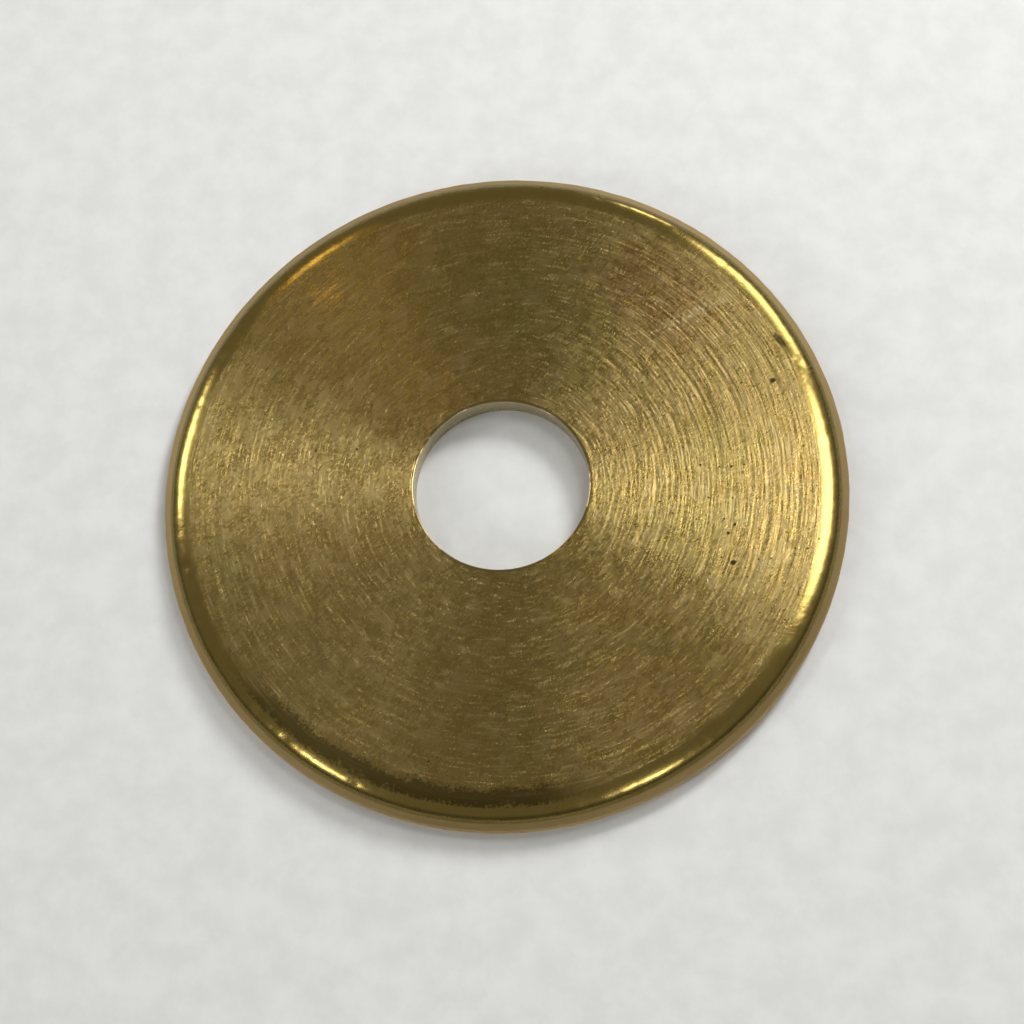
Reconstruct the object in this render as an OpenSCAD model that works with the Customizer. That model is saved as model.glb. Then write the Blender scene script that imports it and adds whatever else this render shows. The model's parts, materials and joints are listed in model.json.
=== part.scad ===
// Plain round fare token: one flat disc of brass with a round hole through its middle.
// The rim isn't square. A rounded shoulder runs round the face and steepens outwards,
// and the side below it leans out to the widest line at half the thickness. The lower
// edge is rounded off.
// Origin: middle of the underside. +Z runs along the hole, towards the turned face.

/* [Disc] */
// Diameter across the widest line of the rim
token_d = 32; // [24:0.5:40]
// Thickness, from the underside to the flat of the face
token_t = 1.2; // [1.1:0.05:2]

/* [Centre hole] */
// Diameter of the hole
hole_d = 8.2; // [4:0.1:12]
// Width and height of the broken corner at each end of the hole
hole_break = 0.06; // [0.02:0.01:0.15]

/* [Rim] */
// Width of the rounded shoulder between the flat of the face and the side
shoulder_w = 0.9; // [0.5:0.05:2]
// How far the shoulder falls across its width
shoulder_drop = 0.3; // [0.1:0.05:0.4]
// How far the leaning side stands out past the foot of the shoulder
side_out = 0.43; // [0.1:0.01:0.5]
// Height of the widest line above the underside
widest_h = 0.6; // [0.45:0.05:0.6]
// Radius of the rounded lower edge
lower_edge_r = 0.35; // [0.1:0.05:0.4]

/* [Hidden] */

token_r = token_d / 2;
hole_r = hole_d / 2;
// Edge of the flat of the face, and the height of the shoulder's foot
flat_r = token_r - side_out - shoulder_w;
foot_h = token_t - shoulder_drop;

// Straight steps that each round stretch of the outline is drawn in
shoulder_steps = 12;
lower_edge_steps = 6;
// Steps round the disc; above 12 the turned faces are true curves
round_steps = 180;

brass = [0.60, 0.51, 0.29];

// Points along a quarter of an ellipse about [r, h], from angle a0 on through 90 degrees
function quarter(r, h, half_w, half_h, a0, steps) =
    [for (i = [0:steps])
        let (a = a0 + 90 * i / steps)
        [r + half_w * cos(a), h + half_h * sin(a)]];

// Half section of the disc as [radius, height], anticlockwise from the hole's lower mouth
outline = concat(
    [[hole_r + hole_break, 0]],
    quarter(token_r - lower_edge_r, lower_edge_r, lower_edge_r, lower_edge_r,
            -90, lower_edge_steps),
    [[token_r, widest_h]],
    quarter(flat_r, foot_h, shoulder_w, shoulder_drop, 0, shoulder_steps),
    [[hole_r + hole_break, token_t],
     [hole_r, token_t - hole_break],
     [hole_r, hole_break]]
);

// The whole token: its half section turned about the hole's axis
module token_disc() {
    color(brass)
        rotate_extrude($fn = round_steps)
            polygon(outline);
}

token_disc();
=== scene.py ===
# %% [markdown]
# # A worn brass fare token
#
# The token is one flat disc of brass with a round hole through its middle. It was cut from
# sheet, faced on a lathe, and then spent years in pockets and fare boxes. Everything that
# makes it look real is small: turning marks a quarter of a millimetre apart, a soft rounded
# shoulder, a few pits, scratches and patches of tarnish.
#
# This lesson builds it in Blender in that order: first the metal's shape with its larger
# marks in real mesh, then the finish of the brass, then the paper it lies on and the light.

# %% [markdown]
# ## The frame
#
# All sizes here are read from it, so the visual model can't drift from the design. Blender
# works in metres, and a token is easier to think about in millimetres, so one number
# converts.

# %% Load the frame and read its sizes
import json
import math

import bpy
import numpy as np
from mathutils import Matrix, Vector


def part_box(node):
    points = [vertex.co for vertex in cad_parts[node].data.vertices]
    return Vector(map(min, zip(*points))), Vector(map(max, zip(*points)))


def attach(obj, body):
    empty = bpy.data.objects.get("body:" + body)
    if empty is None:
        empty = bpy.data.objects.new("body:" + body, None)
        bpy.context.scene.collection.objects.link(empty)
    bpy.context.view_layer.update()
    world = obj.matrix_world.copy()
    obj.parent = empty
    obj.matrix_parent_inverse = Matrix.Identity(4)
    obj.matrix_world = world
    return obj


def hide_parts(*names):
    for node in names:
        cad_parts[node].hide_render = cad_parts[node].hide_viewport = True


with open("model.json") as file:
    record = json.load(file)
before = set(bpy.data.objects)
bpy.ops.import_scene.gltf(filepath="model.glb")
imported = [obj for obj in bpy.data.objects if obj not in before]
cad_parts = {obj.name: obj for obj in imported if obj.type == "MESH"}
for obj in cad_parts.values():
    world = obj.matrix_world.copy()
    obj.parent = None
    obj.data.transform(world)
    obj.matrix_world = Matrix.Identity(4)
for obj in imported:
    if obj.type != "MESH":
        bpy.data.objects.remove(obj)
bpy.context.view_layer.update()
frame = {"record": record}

MM = 0.001
lowest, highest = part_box("token_disc")
TOKEN_R = (highest.x - lowest.x) / 2 / MM
THICK = (highest.z - lowest.z) / MM
hole_mount = next(m for m in frame["record"]["mounts"] if m["name"] == "hole")
HOLE_R = hole_mount["dims"]["r_mm"]
print(f"token {2 * TOKEN_R:.2f} mm across, {THICK:.2f} mm thick, hole {2 * HOLE_R:.2f} mm")

# %% [markdown]
# ## The camera
#
# A token is small, so it is looked at from close by, and close by means strong perspective:
# the near side of the disc is clearly larger than the far side. The camera starts straight
# above the middle of the face and swings down about a level line, like a lamp on a hinge.
# It is shifted a little sideways in its own plane, which places the disc in the picture
# without turning the view.

# %% Place the camera
CAMERA_LEAN = math.radians(18.7)      # away from straight above
CAMERA_SWING = math.radians(15.9)     # the hinge line, from +X towards +Y
CAMERA_SHIFT = (0.510, -1.278, 87.4)  # right, up and back from the face, in mm
LENS = 66.4                           # mm, on a sensor 36 mm wide

camera = bpy.data.objects.new("Camera", bpy.data.cameras.new("Camera"))
bpy.context.scene.collection.objects.link(camera)
bpy.context.scene.camera = camera
camera.data.lens = LENS
camera.data.clip_start, camera.data.clip_end = 0.005, 20.0
hinge = Vector((math.cos(CAMERA_SWING), math.sin(CAMERA_SWING), 0))
camera.matrix_world = (
    Matrix.Translation((0, 0, THICK * MM))
    @ Matrix.Rotation(CAMERA_LEAN, 4, hinge)
    @ Matrix.Translation(Vector(CAMERA_SHIFT) * MM)
)
print("camera at", [round(v / MM, 1) for v in camera.matrix_world.translation], "mm")

# %% [markdown]
# ## The outline of the disc
#
# A disc like this is a turned shape: one outline, swept round the axis. The outline is a
# list of points, each a radius and a height, walked from the hole's lower mouth along the
# underside, up over the rim, back across the face and down the hole. A spin modifier could
# sweep it, but plain rings of points let each ring carry its own wear later.
#
# The rim isn't square. A rounded shoulder falls away from the face and steepens outwards,
# so a light has one place on it where it shines back, and every lamp draws one thin arc.
# The side leans out below the shoulder to the widest line. The hole's lip is worn round.

# %% Draw the outline
SHOULDER_W, SHOULDER_DROP = 0.90, 0.30
SIDE_OUT = 0.43
WIDEST_H = 0.60
LOWER_EDGE_R = 0.35
HOLE_BREAK = 0.06
LIP_W, LIP_DROP = 0.08, 0.030

FOOT_R = TOKEN_R - SIDE_OUT
FOOT_H = THICK - SHOULDER_DROP
FLAT_R = FOOT_R - SHOULDER_W
LIP_R = HOLE_R + LIP_W


def straight(start, end, steps):
    """Points from start towards end, without end itself."""
    return [
        (start[0] + (end[0] - start[0]) * i / steps, start[1] + (end[1] - start[1]) * i / steps)
        for i in range(steps)
    ]


def quarter(r, h, half_w, half_h, from_angle, steps):
    """A quarter of an ellipse about (r, h), without its last point."""
    angles = [math.radians(from_angle + 90 * i / steps) for i in range(steps)]
    return [(r + half_w * math.cos(a), h + half_h * math.sin(a)) for a in angles]


FACE_RINGS = 172
outline = (
    straight((HOLE_R + HOLE_BREAK, 0), (TOKEN_R - LOWER_EDGE_R, 0), 22)
    + quarter(TOKEN_R - LOWER_EDGE_R, LOWER_EDGE_R, LOWER_EDGE_R, LOWER_EDGE_R, -90, 6)
    + straight((TOKEN_R, LOWER_EDGE_R), (TOKEN_R, WIDEST_H), 2)
    + straight((TOKEN_R, WIDEST_H), (FOOT_R, FOOT_H), 5)
    + quarter(FLAT_R, FOOT_H, SHOULDER_W, SHOULDER_DROP, 0, 20)
    + straight((FLAT_R, THICK), (LIP_R, THICK), FACE_RINGS)
    + quarter(LIP_R, THICK - LIP_DROP, LIP_W, LIP_DROP, 90, 6)
    + straight((HOLE_R, THICK - LIP_DROP), (HOLE_R, HOLE_BREAK), 4)
    + straight((HOLE_R, HOLE_BREAK), (HOLE_R + HOLE_BREAK, 0), 1)
)
print(len(outline), "rings in the outline")

# %% [markdown]
# ## Rings and their points
#
# Each outline point becomes a ring of mesh points. The rim shows nicks a tenth of a
# millimetre wide, so its rings are twice as fine as those of the face, where all the marks
# run round the disc and need no more. Three flat arrays hold every point's radius, height
# and angle, so that each kind of wear below is one line of arithmetic on all of them.

# %% Lay out the points
FACE_COUNT, RIM_COUNT = 360, 720
RIM_FROM = FLAT_R - 0.1

counts = [RIM_COUNT if r > RIM_FROM and h > 0 else FACE_COUNT for r, h in outline]
starts = np.concatenate([[0], np.cumsum(counts)])
radius = np.concatenate([np.full(n, float(r)) for (r, h), n in zip(outline, counts)])
height = np.concatenate([np.full(n, float(h)) for (r, h), n in zip(outline, counts)])
angle = np.concatenate([np.arange(n) * 2 * math.pi / n for n in counts])
print(len(radius), "points")

# %% [markdown]
# ## Smooth random numbers
#
# Wear is irregular, but never jumpy along its own direction. `wander` gives a random curve
# round the disc that closes on itself: random numbers at evenly spaced knots, joined by
# smooth steps. Every call has its own seed, so the token comes out the same each time.

# %% Random curves round the disc
def smooth(t):
    """Ease from 0 to 1 as t goes from 0 to 1, and stay flat outside that."""
    t = np.clip(t, 0, 1)
    return t * t * (3 - 2 * t)


def wander(angles, knots, seed, row=0, rows=1):
    """Random numbers from 0 to 1 that change smoothly with angle, one closed curve per row."""
    table = np.random.default_rng(seed).random((rows, knots))
    place = (angles / (2 * math.pi) * knots) % knots
    knot = place.astype(int)
    blend = smooth(place - knot)
    return table[row, knot % knots] * (1 - blend) + table[row, (knot + 1) % knots] * blend


# %% [markdown]
# ## Turning marks
#
# A facing tool leaves one shallow scoop per turn, with a sharp crest between neighbours.
# They are real grooves here, because their flanks are what catch the light: left and right
# of the hole they light up as bright broken lines, and elsewhere they stay dark. Each scoop
# has its own depth, and handling has rubbed it away in places, which breaks it into dashes.
# The left half is rubbed more than the right one. The blank didn't sit quite true in the
# chuck either, so the grooves aren't centred on the disc.

# %% Cut the turning marks
PITCH = 0.27
SCOOP_DEPTH = 0.024
CHUCK_OFF_CENTRE = 0.30
KEPT_KNOTS = 36
LEAST_KEPT = 0.60

turn_r = np.hypot(radius * np.cos(angle) - CHUCK_OFF_CENTRE, radius * np.sin(angle))
turn = turn_r / PITCH
scoop = turn.astype(int)
scoop_count = scoop.max() + 1
across = 2 * (turn - scoop) - 1
kept = smooth((wander(angle, KEPT_KNOTS, 3, scoop, scoop_count) - 0.30) / 0.65)
kept = kept * (LEAST_KEPT + (1 - LEAST_KEPT) * smooth(0.5 + 0.9 * np.cos(angle)))
cut = 0.25 + 0.75 * np.random.default_rng(5).random(scoop_count)[scoop]
on_face = (height > THICK - 1e-6) & (radius > LIP_R)
face_fade = smooth((radius - LIP_R) / 0.25) * smooth((FLAT_R - 0.1 - radius) / 0.7)
height -= np.where(on_face, SCOOP_DEPTH * cut * kept * face_fade * (1 - across**2), 0)
print(scoop_count, "scoops, deepest", round(SCOOP_DEPTH, 3), "mm")

# %% [markdown]
# ## A worn rim
#
# Years of knocks show at the rim first. The shoulder wavers a little and has small dents,
# the lip of the hole is beaded, and the side keeps the rough torn grain that cutting left.
# All of it moves points inwards only, because the real metal was only ever taken away.

# %% Wear the rim and the lip
SHOULDER_WAVER = 0.05
SIDE_GRAIN = 0.018
SIDE_WAVER = 0.03
LIP_BEADS = 0.012
DENTS = 22

on_shoulder = smooth((radius - FLAT_R) / 0.3) * smooth((height - FOOT_H + 0.02) / 0.1)
waver = 0.6 * wander(angle, 60, 11) + 0.4 * wander(angle, 320, 12)
radius -= on_shoulder * SHOULDER_WAVER * waver
side = smooth((radius - FOOT_R - 0.02) / 0.1)
ring_of = np.repeat(np.arange(len(outline)), counts)
radius -= SIDE_GRAIN * side * wander(angle, 240, 17, ring_of, len(outline))
radius -= SIDE_WAVER * side * wander(angle, 9, 19)
on_lip = smooth((LIP_R + 0.05 - radius) / 0.1) * (height > THICK / 2)
height -= on_lip * LIP_BEADS * wander(angle, 110, 31)

dice = np.random.default_rng(23)
dent_places = dice.random(DENTS) * 2 * math.pi
dent_widths = 0.08 + 0.22 * dice.random(DENTS)
dent_depths = 0.003 + 0.012 * dice.random(DENTS)
dent_radii = FLAT_R + SHOULDER_W * (0.2 + 0.7 * dice.random(DENTS))
upper = height > WIDEST_H
for at, wide, deep, out in zip(dent_places, dent_widths, dent_depths, dent_radii):
    round_off = np.abs((angle - at + math.pi) % (2 * math.pi) - math.pi) * TOKEN_R
    height -= deep * upper * np.exp(-(round_off**2 + (radius - out) ** 2) / wide**2)
print(DENTS, "dents round the shoulder")

# %% [markdown]
# ## From rings to metal
#
# Neighbouring rings are joined by quads where they have the same number of points. Where a
# ring of 360 meets one of 720, each step takes three triangles. The last ring joins back to
# the first, so the mesh is closed and has no stray edges.

# %% Join the rings into one mesh
def strip(a, b):
    """Faces between ring a and ring b, the next one along the outline."""
    n, m, at, bt = counts[a], counts[b], starts[a], starts[b]
    if n == m:
        return [(at + i, at + (i + 1) % n, bt + (i + 1) % n, bt + i) for i in range(n)]
    faces = []
    few, many = (at, bt) if n < m else (bt, at)
    for i in range(min(n, m)):
        here, there = few + i, few + (i + 1) % min(n, m)
        fine = [many + (2 * i + k) % max(n, m) for k in range(3)]
        fan = [(here, fine[1], fine[0]), (here, there, fine[1]), (there, fine[2], fine[1])]
        faces += fan if n < m else [f[::-1] for f in fan]
    return faces


points = np.stack([radius * np.cos(angle), radius * np.sin(angle), height], 1) * MM
faces = [f for a in range(len(outline)) for f in strip(a, (a + 1) % len(outline))]
mesh = bpy.data.meshes.new("token")
mesh.from_pydata(points.tolist(), [], [[int(v) for v in f] for f in faces])
mesh.shade_smooth()
mesh.validate()
token = bpy.data.objects.new("token", mesh)
bpy.context.scene.collection.objects.link(token)
triangles = sum(len(f) - 2 for f in faces)
print(len(points), "points,", triangles, "triangles")

# %% [markdown]
# ## Arithmetic with sockets
#
# Blender's finishes are graphs of nodes. A mask such as "near the rim, but not on it" takes
# a dozen Math nodes, which are hard to read as a list of links. This small class holds one
# output socket and lets Python's own operators work on it: each one adds a Math node.
# Everything else goes through one method that takes a node's type, its settings, and what
# its sockets hold.

# %% The wire
class Wire:
    """The output of a shader node. Adding, multiplying and so on adds Math nodes."""

    tree = None

    def __init__(self, socket):
        self.socket = socket

    @classmethod
    def node(cls, kind, settings=(), sockets=(), out=0):
        """Add any node: settings first, then numbers or wires into its sockets."""
        made = cls.tree.nodes.new(kind)
        for name, value in dict(settings).items():
            setattr(made, name, value)
        for name, value in dict(sockets).items():
            if isinstance(value, Wire):
                cls.tree.links.new(value.socket, made.inputs[name])
            else:
                made.inputs[name].default_value = value
        wires = [cls(socket) for socket in made.outputs]
        if isinstance(out, tuple):
            return [wires[o] for o in out]
        return wires[out] if wires else None

    @classmethod
    def sum(cls, operation, *values):
        return cls.node("ShaderNodeMath", {"operation": operation}, enumerate(values))

    def __add__(self, other):
        return self.sum("ADD", self, other)

    def __sub__(self, other):
        return self.sum("SUBTRACT", self, other)

    def __rsub__(self, other):
        return self.sum("SUBTRACT", other, self)

    def __mul__(self, other):
        return self.sum("MULTIPLY", self, other)

    def __truediv__(self, other):
        return self.sum("DIVIDE", self, other)

    def __pow__(self, other):
        return self.sum("POWER", self, other)

    __radd__, __rmul__ = __add__, __mul__


def vector_sum(operation, *values):
    return Wire.node("ShaderNodeVectorMath", {"operation": operation}, enumerate(values))


def stretch(vector, amount):
    return Wire.node("ShaderNodeVectorMath", {"operation": "SCALE"}, {0: vector, "Scale": amount})


def combine(x, y, z):
    return Wire.node("ShaderNodeCombineXYZ", sockets={0: x, 1: y, 2: z})


def ease(value, low, high):
    """0 where value is below low, 1 above high, and a smooth step between."""
    return Wire.node(
        "ShaderNodeMapRange",
        {"interpolation_type": "SMOOTHSTEP"},
        {"Value": value, "From Min": low, "From Max": high},
    )


def band(value, low, high, edge):
    """1 where value is between low and high, fading to 0 over an edge each way."""
    return ease(value, low - edge, low + edge) * (1 - ease(value, high - edge, high + edge))


def limit(value):
    return Wire.node("ShaderNodeClamp", sockets={0: value})


MIX_UNDER, MIX_OVER, MIX_RESULT = 6, 7, 2


def mix(under, over, amount):
    """Lay one colour over another, by an amount from 0 to 1."""
    sockets = {0: amount}
    for socket, colour in ((MIX_UNDER, under), (MIX_OVER, over)):
        sockets[socket] = colour if isinstance(colour, Wire) else (*colour, 1.0)
    return Wire.node("ShaderNodeMix", {"data_type": "RGBA"}, sockets, out=MIX_RESULT)


def noise(vector, scale, detail=2.0, roughness=0.5):
    sockets = {"Vector": vector, "Scale": scale, "Detail": detail, "Roughness": roughness}
    return Wire.node("ShaderNodeTexNoise", sockets=sockets)


def new_finish(name):
    """An empty material whose nodes the next wires go into."""
    material = bpy.data.materials.new(name)
    material.use_nodes = True
    material.node_tree.nodes.clear()
    Wire.tree = material.node_tree
    return material


# %% [markdown]
# ## Where a point of the brass is
#
# Every mark on the token has a place, so the finish starts from the point's position in
# millimetres. Radius and height say whether it is face, shoulder, side or the wall of the
# hole. `turned` is a noise whose grain runs round the disc: it is looked up by direction
# from the middle, which changes slowly along a groove, and by radius, which changes fast
# across it.

# %% Coordinates of the brass
brass = new_finish("worn_brass")
place = stretch(Wire.node("ShaderNodeTexCoord", out=3), 1 / MM)
x, y, z = Wire.node("ShaderNodeSeparateXYZ", sockets={0: place}, out=(0, 1, 2))
from_axis = (x * x + y * y) ** 0.5
off_x = x - CHUCK_OFF_CENTRE
turned_r = (off_x * off_x + y * y) ** 0.5
bearing = vector_sum("NORMALIZE", combine(off_x, y, 0.0))


def turned(pitch, sweep, detail=2.0):
    """Noise with marks one pitch apart, each about a sweep-th of a radian long."""
    across_marks = combine(0.0, 0.0, turned_r / pitch)
    return noise(vector_sum("ADD", stretch(bearing, sweep), across_marks), 1.0, detail)


def moved(x_by, y_by):
    """The same place looked up elsewhere, so that two noises don't match."""
    return vector_sum("ADD", place, (x_by, y_by, 0.0))


upper_side = ease(z, WIDEST_H, WIDEST_H + 0.1)
flat_mask = (1 - ease(from_axis, FLAT_R - 0.2, FLAT_R + 0.2)) * ease(from_axis, LIP_R, LIP_R + 0.1)
shoulder_mask = ease(from_axis, FLAT_R - 0.1, FLAT_R + 0.2) * upper_side
side_mask = 1 - upper_side * (1 - ease(from_axis, FOOT_R, FOOT_R + 0.06))
side_mask = side_mask * ease(from_axis, FLAT_R, FLAT_R + 0.4)
lip_mask = (1 - ease(from_axis, LIP_R, LIP_R + 0.08)) * upper_side
wall_mask = 1 - ease(from_axis, HOLE_R + 0.01, HOLE_R + 0.05)

# %% [markdown]
# ## Relief too fine for the mesh
#
# Inside the grooves run finer marks a tenth of a millimetre apart, which mesh is too coarse
# for, and satin grain breaks them up. Rubbing crosses them in two directions. At the upper
# left one spot is torn open. Each of these is a noise of its own, and a Bump node will carry
# them all.

# %% Fine relief
fine_marks = turned(0.11, 8.0, 3.0)
long_marks = turned(0.26, 3.0, 1.0)
satin = noise(place, 6.5, 3.0, 0.7)
rubbed = noise(vector_sum("MULTIPLY", place, (1.6, 6.0, 6.0)), 1.0, 3.0, 0.6)
diagonal = combine(x + y, y - x, z)
rubbed_across = noise(vector_sum("MULTIPLY", diagonal, (1.1, 5.0, 5.0)), 1.0, 3.0, 0.6)

TORN_AT = (-8.6, 10.0)
TORN_HALF = (1.1, 1.3)
torn_x = (x - TORN_AT[0]) / TORN_HALF[0]
torn_y = (y - TORN_AT[1]) / TORN_HALF[1]
torn_spot = 1 - ease(torn_x * torn_x + torn_y * torn_y, 0.1, 1.0)
torn_place = torn_spot * ease(fine_marks, 0.45, 0.6)

# %% [markdown]
# ## One height for the bump
#
# Heights are summed in millimetres and the bump's distance is one millimetre, so every depth
# below is a real one. The marks swing about zero before the grain multiplies them. Otherwise
# the grain alone would scatter light from the lamps all over the face, and the dark quarters
# of the disc would fill in.

# %% Add the depths up
FINE_DEPTH, LONG_DEPTH = 0.044, 0.009
GRAIN_DEPTH, FACE_GRAIN_DEPTH, SIDE_GRAIN_DEPTH = 0.0016, 0.0048, 0.010
RUB_DEPTH = 0.0018
TORN_DEPTH = 0.020

broken = 0.5 + ease(satin, 0.40, 0.58) * 0.7
less_worn = 0.75 + ease(x, -7.0, 6.0) * 0.25
relief = (
    (fine_marks - 0.5) * broken * less_worn * FINE_DEPTH * flat_mask
    + long_marks * LONG_DEPTH * flat_mask
    + satin * (GRAIN_DEPTH + flat_mask * FACE_GRAIN_DEPTH)
    + (rubbed + rubbed_across) * RUB_DEPTH
    + torn_place * satin * TORN_DEPTH
    + satin * side_mask * SIDE_GRAIN_DEPTH
)
print(len(brass.node_tree.nodes), "nodes of masks and relief")

# %% [markdown]
# ## Marks with a place of their own
#
# Some marks can't be left to chance, because the eye finds them at once: the brown patch,
# the smears next to it, the worst pits and the clearest scratches. A `blot` is an ellipse
# whose edge a cloud of noise eats into. A `stroke` is everything near a straight line
# between two points.

# %% Blots and strokes
ragged_cloud = noise(place, 0.8, 6.0, 0.65)


def blot(at, half_long, half_wide, turn=0.0, ragged=1.6, edge=0.35):
    """1 inside an ellipse at a place in mm, turned by some degrees, and 0 outside it."""
    turn = math.radians(turn)
    along = ((x - at[0]) * math.cos(turn) + (y - at[1]) * math.sin(turn)) / half_long
    aside = ((y - at[1]) * math.cos(turn) - (x - at[0]) * math.sin(turn)) / half_wide
    outward = (along * along + aside * aside) ** 0.5 + (ragged_cloud - 0.5) * ragged
    return 1 - ease(outward, 1 - edge, 1 + edge)


def stroke(start, end, half_wide):
    """1 on the line from start to end, in mm, fading to 0 at half its width and its ends."""
    run_x, run_y = end[0] - start[0], end[1] - start[1]
    length = math.hypot(run_x, run_y)
    along = ((x - start[0]) * run_x + (y - start[1]) * run_y) / length
    aside = ((y - start[1]) * run_x - (x - start[0]) * run_y) / length
    beyond = Wire.sum("MAXIMUM", Wire.sum("MAXIMUM", 0 - along, along - length), 0.0)
    return 1 - ease(Wire.sum("ABSOLUTE", aside) + beyond * 0.3, 0.0, half_wide)


# %% [markdown]
# ## Pits and scratches
#
# Small pits open up as the face wears, and most sit in the right half of this token. The
# larger ones are blots with almost no raggedness. Voronoi cells scatter the rest: each cell
# has one point, and a random number per cell decides whether a pit opens there and how wide
# it is. Scratches are fresh metal, so they are bright rather than dark.

# %% Pits and scratches
def pits(cell, share, widest, seed):
    """Small pits: one cell in so many has one, of random width, in mm."""
    sockets = {"Vector": moved(seed, seed * 2.0), "Scale": 1 / cell}
    cells = {"voronoi_dimensions": "2D"}
    away, number = Wire.node("ShaderNodeTexVoronoi", cells, sockets, out=(0, 1))
    number = Wire.node("ShaderNodeSeparateColor", sockets={0: number}, out=(0,))[0]
    half_w = ease(number, 1 - share, 1.0) * (widest / cell)
    return ease(half_w - away, 0.0, 0.4 * widest / cell)


BIG_PITS = [
    ((12.6, 4.9), 0.13), ((10.6, -3.9), 0.12), ((10.4, -2.5), 0.08),
    ((10.7, -2.1), 0.07), ((10.6, 0.7), 0.07), ((9.2, 0.8), 0.06),
]
SCRATCHES = [
    ((-2.5, 10.8), (-2.7, 9.4)), ((-5.3, 9.3), (-5.3, 8.4)), ((-5.6, 6.8), (-5.4, 5.8)),
    ((9.4, -4.6), (9.9, -5.9)), ((-12.0, 4.0), (-11.7, 3.1)), ((-4.2, 4.3), (-4.1, 4.1)),
    ((1.9, -11.9), (2.4, -12.8)), ((-3.9, -12.9), (-3.1, -13.9)), ((5.4, 9.6), (7.8, 9.0)),
]
PIT_DEPTH, SCRATCH_DEPTH = 0.04, 0.002
SCRATCH_HALF = 0.055

big_pits = sum(blot(at, wide, wide * 0.8, 40.0, 1.2, 0.25) for at, wide in BIG_PITS)
worn_half = ease(x, 3.0, 8.0) * band(y, -8.0, 7.0, 2.0)
small_pits = pits(0.55, 0.24, 0.052, 3.1) * worn_half + pits(1.9, 0.15, 0.07, 8.7)
pit_mask = limit(big_pits + small_pits * flat_mask)
strokes = limit(sum(stroke(start, end, SCRATCH_HALF) for start, end in SCRATCHES))
scratches = strokes * (0.35 + ease(rubbed, 0.40, 0.60) * 0.65)
relief = relief - pit_mask * PIT_DEPTH - scratches * SCRATCH_DEPTH
print(len(BIG_PITS), "large pits and", len(SCRATCHES), "scratches")

# %% [markdown]
# ## The colour of old brass
#
# Fresh brass is a light yellow. In the air it turns olive, then brown, and handling keeps
# the high spots bright. So the colour is laid up in coats: a golden-brown film over
# everything, olive and brown patches where tarnish has gone further, and a mottle of rubbed
# metal on top. The torn spot shows a hot golden orange. The shoulder and the hole's wall are
# handled or hidden in their own way, so they get a coat of their own.

# %% Tarnish and bare metal
BARE = (0.66, 0.52, 0.25)
FILM = (0.47, 0.325, 0.088)
OLIVE = (0.36, 0.275, 0.062)
BROWN = (0.35, 0.205, 0.050)
HANDLED = (0.50, 0.37, 0.10)
ORANGE = (0.80, 0.42, 0.06)
# A near-black colour for real stains and grime, and also for the painted shade in the crease below
# the shoulder.
DIRT_AND_SHADE = (0.09, 0.066, 0.018)
TORN = (0.58, 0.42, 0.20)
WALL = (0.56, 0.48, 0.29)
PIT = (0.03, 0.022, 0.012)

mottle = noise(place, 0.9, 6.0, 0.66)
clouds = noise(place, 0.16, 4.0, 0.6)
brown_clouds = noise(moved(31.0, 7.0), 0.22, 4.0, 0.6)
colour = mix(FILM, OLIVE, ease(clouds, 0.45, 0.70) * 0.70)
colour = mix(colour, BROWN, ease(brown_clouds, 0.50, 0.75) * 0.6)
colour = mix(colour, OLIVE, blot((1.6, 9.8), 6.0, 3.4) * 0.6)
colour = mix(colour, BROWN, blot((7.2, 9.6), 3.0, 1.9, -35.0) * 0.85)
polished = ease(mottle, 0.40, 0.70) * 0.22 + ease(fine_marks, 0.44, 0.60) * 0.14
polished = polished + ease(satin, 0.40, 0.62) * 0.20
colour = mix(colour, BARE, polished)
colour = mix(colour, ORANGE, torn_place * 0.7)
smear = limit(stroke((7.5, 7.7), (9.9, 8.8), 0.45) * ease(satin, 0.4, 0.5))
colour = mix(colour, BARE, smear * 0.60)
colour = mix(colour, HANDLED, shoulder_mask * 0.8)
colour = mix(colour, WALL, wall_mask)

# %% [markdown]
# ## Dirt and painted shade lie on top
#
# Grime gathers where the shoulder meets the side, and that crease is also darkened as painted
# shade. A dark stain has dried at the lower left, just inside the shoulder. These come after
# the metal's own colours, because they lie over them. The fresh scratches come last of all,
# because they cut through the dirt.

# %% Grime, painted crease shade, stains and open pits
compass = Wire.sum("ARCTAN2", y, x)
wet_edge = from_axis + (ragged_cloud - 0.5) * 0.8 + (satin - 0.5) * 1.2
stained = band(compass, math.radians(-141), math.radians(-76), 0.14)
stained = stained * band(wet_edge, 14.15, 14.95, 0.15) * ease(15.05 - from_axis, 0.0, 0.08)
colour = mix(colour, DIRT_AND_SHADE, stained * 0.85)
colour = mix(colour, DIRT_AND_SHADE, blot((13.0, 6.9), 0.45, 0.16, -50.0) * 0.8)
# Painted shade and grime: the crease where the shoulder meets the side is darkened in colour, and
# the side's own colour is held back there.
crease_grime_and_shade = band(from_axis, FOOT_R - 0.20, FOOT_R + 0.08, 0.08) * upper_side
colour = mix(colour, DIRT_AND_SHADE, crease_grime_and_shade * 0.70)
colour = mix(colour, TORN, side_mask * (0.8 - crease_grime_and_shade * 0.6))
colour = mix(colour, PIT, pit_mask * 0.88)
colour = mix(colour, BARE, scratches * 0.75)
print(len(brass.node_tree.nodes), "nodes with the colours")

# %% [markdown]
# ## Gloss
#
# Roughness follows the same story: the shoulder and lip are polished by handling, the face
# is satin, and tarnish, pits and the torn side are duller. It varies from spot to spot,
# because an even gloss is what makes a render look like plastic.
#
# Marks too fine even for the bump still stretch each reflection across them, which is what
# opens the two bright fans on a turned face. The shader's Anisotropic value does that. Left
# alone it stretches along the direction round the axis, so a quarter turn points it outwards.

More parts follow.
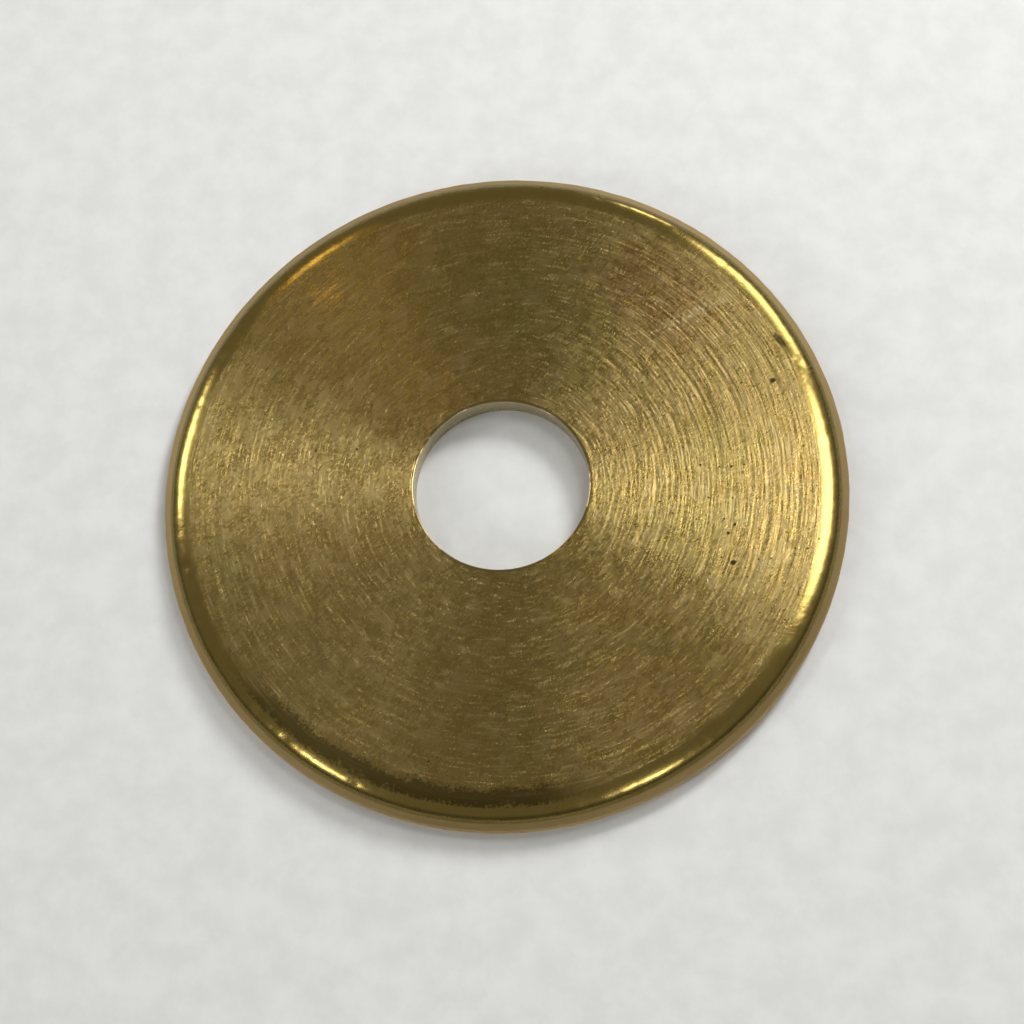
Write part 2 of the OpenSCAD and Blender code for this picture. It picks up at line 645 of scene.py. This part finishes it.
# %% Put the brass together
SATIN_ROUGHNESS = 0.275
gloss = SATIN_ROUGHNESS + (mottle - 0.5) * 0.12 + (rubbed_across - 0.5) * 0.12
gloss = gloss - shoulder_mask * 0.10 - lip_mask * 0.10
gloss = gloss + side_mask * 0.20 + pit_mask * 0.2 + crease_grime_and_shade * 0.1 + stained * 0.15
bumped = Wire.node("ShaderNodeBump", sockets={"Strength": 1.0, "Distance": MM, "Height": relief})
surface = Wire.node(
    "ShaderNodeBsdfPrincipled",
    sockets={
        "Base Color": colour,
        "Metallic": 1.0,
        "Roughness": gloss,
        "Anisotropic": 0.70,
        "Anisotropic Rotation": 0.25,
        "Normal": bumped,
    },
)
Wire.node("ShaderNodeOutputMaterial", sockets={"Surface": surface})
mesh.materials.append(brass)
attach(token, "root")
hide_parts("token_disc")
print(len(brass.node_tree.nodes), "nodes in the brass")

# %% [markdown]
# ## The paper
#
# The token lies on a plain sheet. Paper is matt and pale, with a faint cloudiness that stops
# it looking like a screen. It stops short of the low boxes, because paper behind them would
# show as an unlit strip.

# %% Lay the paper
PAPER_HALF = 160.0
PAPER_DARK, PAPER_LIGHT = (0.665, 0.67, 0.635), (0.725, 0.73, 0.695)

paper_mesh = bpy.data.meshes.new("paper")
signs = ((-1, -1), (1, -1), (1, 1), (-1, 1))
corners = [(sx * PAPER_HALF * MM, sy * PAPER_HALF * MM, 0) for sx, sy in signs]
paper_mesh.from_pydata(corners, [], [(0, 1, 2, 3)])
paper = bpy.data.objects.new("paper", paper_mesh)
bpy.context.scene.collection.objects.link(paper)
paper_finish = new_finish("pale_paper")
on_paper = stretch(Wire.node("ShaderNodeTexCoord", out=3), 1 / MM)
fibre = noise(on_paper, 0.6, 5.0, 0.6)
surface = Wire.node(
    "ShaderNodeBsdfPrincipled",
    sockets={
        "Base Color": mix(PAPER_DARK, PAPER_LIGHT, ease(fibre, 0.3, 0.7)),
        "Roughness": 0.9,
        "Specular IOR Level": 0.2,
    },
)
Wire.node("ShaderNodeOutputMaterial", sockets={"Surface": surface})
paper_mesh.materials.append(paper_finish)
print("a sheet", 2 * PAPER_HALF, "mm square")

# %% [markdown]
# ## The light
#
# A metal disc is a mirror for whatever is round it, so lighting it is really placing bright
# shapes in the room. A large soft box on the right is the main one: it opens the right fan
# of grooves and runs the broad highlight round the right shoulder. It stands near, so its
# light changes across the face. A smaller box on the left does the same more weakly. Small
# lamps further round pick out short arcs of the shoulder, and one of them is warm. The flat
# of the face mirrors the room straight above, so nothing hangs there.
#
# A shadow on the paper wants light from low down instead, and low boxes would draw arcs on
# the shoulder that don't belong. So four low boxes light the paper but aren't mirrored.

# %% Place the lights
DAYLIGHT = (0.99, 0.995, 1.04)
WARM = (1.0, 0.72, 0.34)
FAR_AWAY = 300.0


def lamp(name, azimuth, elevation, half_angle, brightness, colour=DAYLIGHT, away=FAR_AWAY):
    """A round soft box seen from the token as a disc of that half angle, facing it."""
    light = bpy.data.lights.new(name, "AREA")
    light.shape = "DISK"
    light.size = 2 * away * math.tan(math.radians(half_angle)) * MM
    area = math.pi * (light.size / 2) ** 2
    light.energy = brightness * math.pi * area
    light.color = colour
    holder = bpy.data.objects.new(name, light)
    bpy.context.scene.collection.objects.link(holder)
    a, e = math.radians(azimuth), math.radians(elevation)
    towards = Vector((math.cos(a) * math.cos(e), math.sin(a) * math.cos(e), math.sin(e)))
    holder.location = towards * away * MM
    holder.rotation_euler = (-towards).to_track_quat("-Z", "Y").to_euler()
    holder.visible_camera = False
    return holder


lamp("right_box", 36, 61, 10, 5.5, away=170.0)
lamp("low_right_box", 60, 42, 9, 4.0)
lamp("left_box", 150, 44, 6.5, 6.0)
lamp("near_left_lamp", 213, 55, 3.5, 10.0)
lamp("near_right_lamp", -56, 62, 4, 7.0)
lamp("far_lamp", 77, 24, 3, 8.0)
lamp("warm_lamp", 118, 50, 2, 6.0, WARM)
for low_box in (
    lamp("low_far_box", 56, 31, 8, 40.0, away=240.0),
    lamp("low_near_left_box", 215, 20, 8, 15.0),
    lamp("low_near_right_box", 300, 25, 8, 3.0),
    lamp("low_far_left_box", 140, 25, 8, 5.0),
):
    low_box.visible_glossy = False

# %% [markdown]
# ## The room
#
# The room is what the metal mirrors where no lamp is. It is dim overhead and paler low down,
# like a room's walls. A low view looks past the paper's far edge straight at it, so rays
# from the camera see an even pale backdrop instead.

# %% Light the room
ROOM = (0.165, 0.155, 0.135)
WALLS = (0.42, 0.41, 0.39)
BACKDROP = (0.72, 0.72, 0.71)

world = bpy.data.worlds.new("room")
bpy.context.scene.world = world
world.use_nodes = True
world.node_tree.nodes.clear()
Wire.tree = world.node_tree
towards_room = Wire.node("ShaderNodeTexCoord", out=0)
rise = Wire.node("ShaderNodeSeparateXYZ", sockets={0: towards_room}, out=(2,))[0]
room = mix(WALLS, ROOM, ease(rise, 0.05, 0.45))
seen = Wire.node("ShaderNodeLightPath", out=0)
glow = Wire.node("ShaderNodeBackground", sockets={"Color": mix(room, BACKDROP, seen)})
Wire.node("ShaderNodeOutputWorld", sockets={"Surface": glow})
bpy.context.scene.view_settings.view_transform = "Standard"
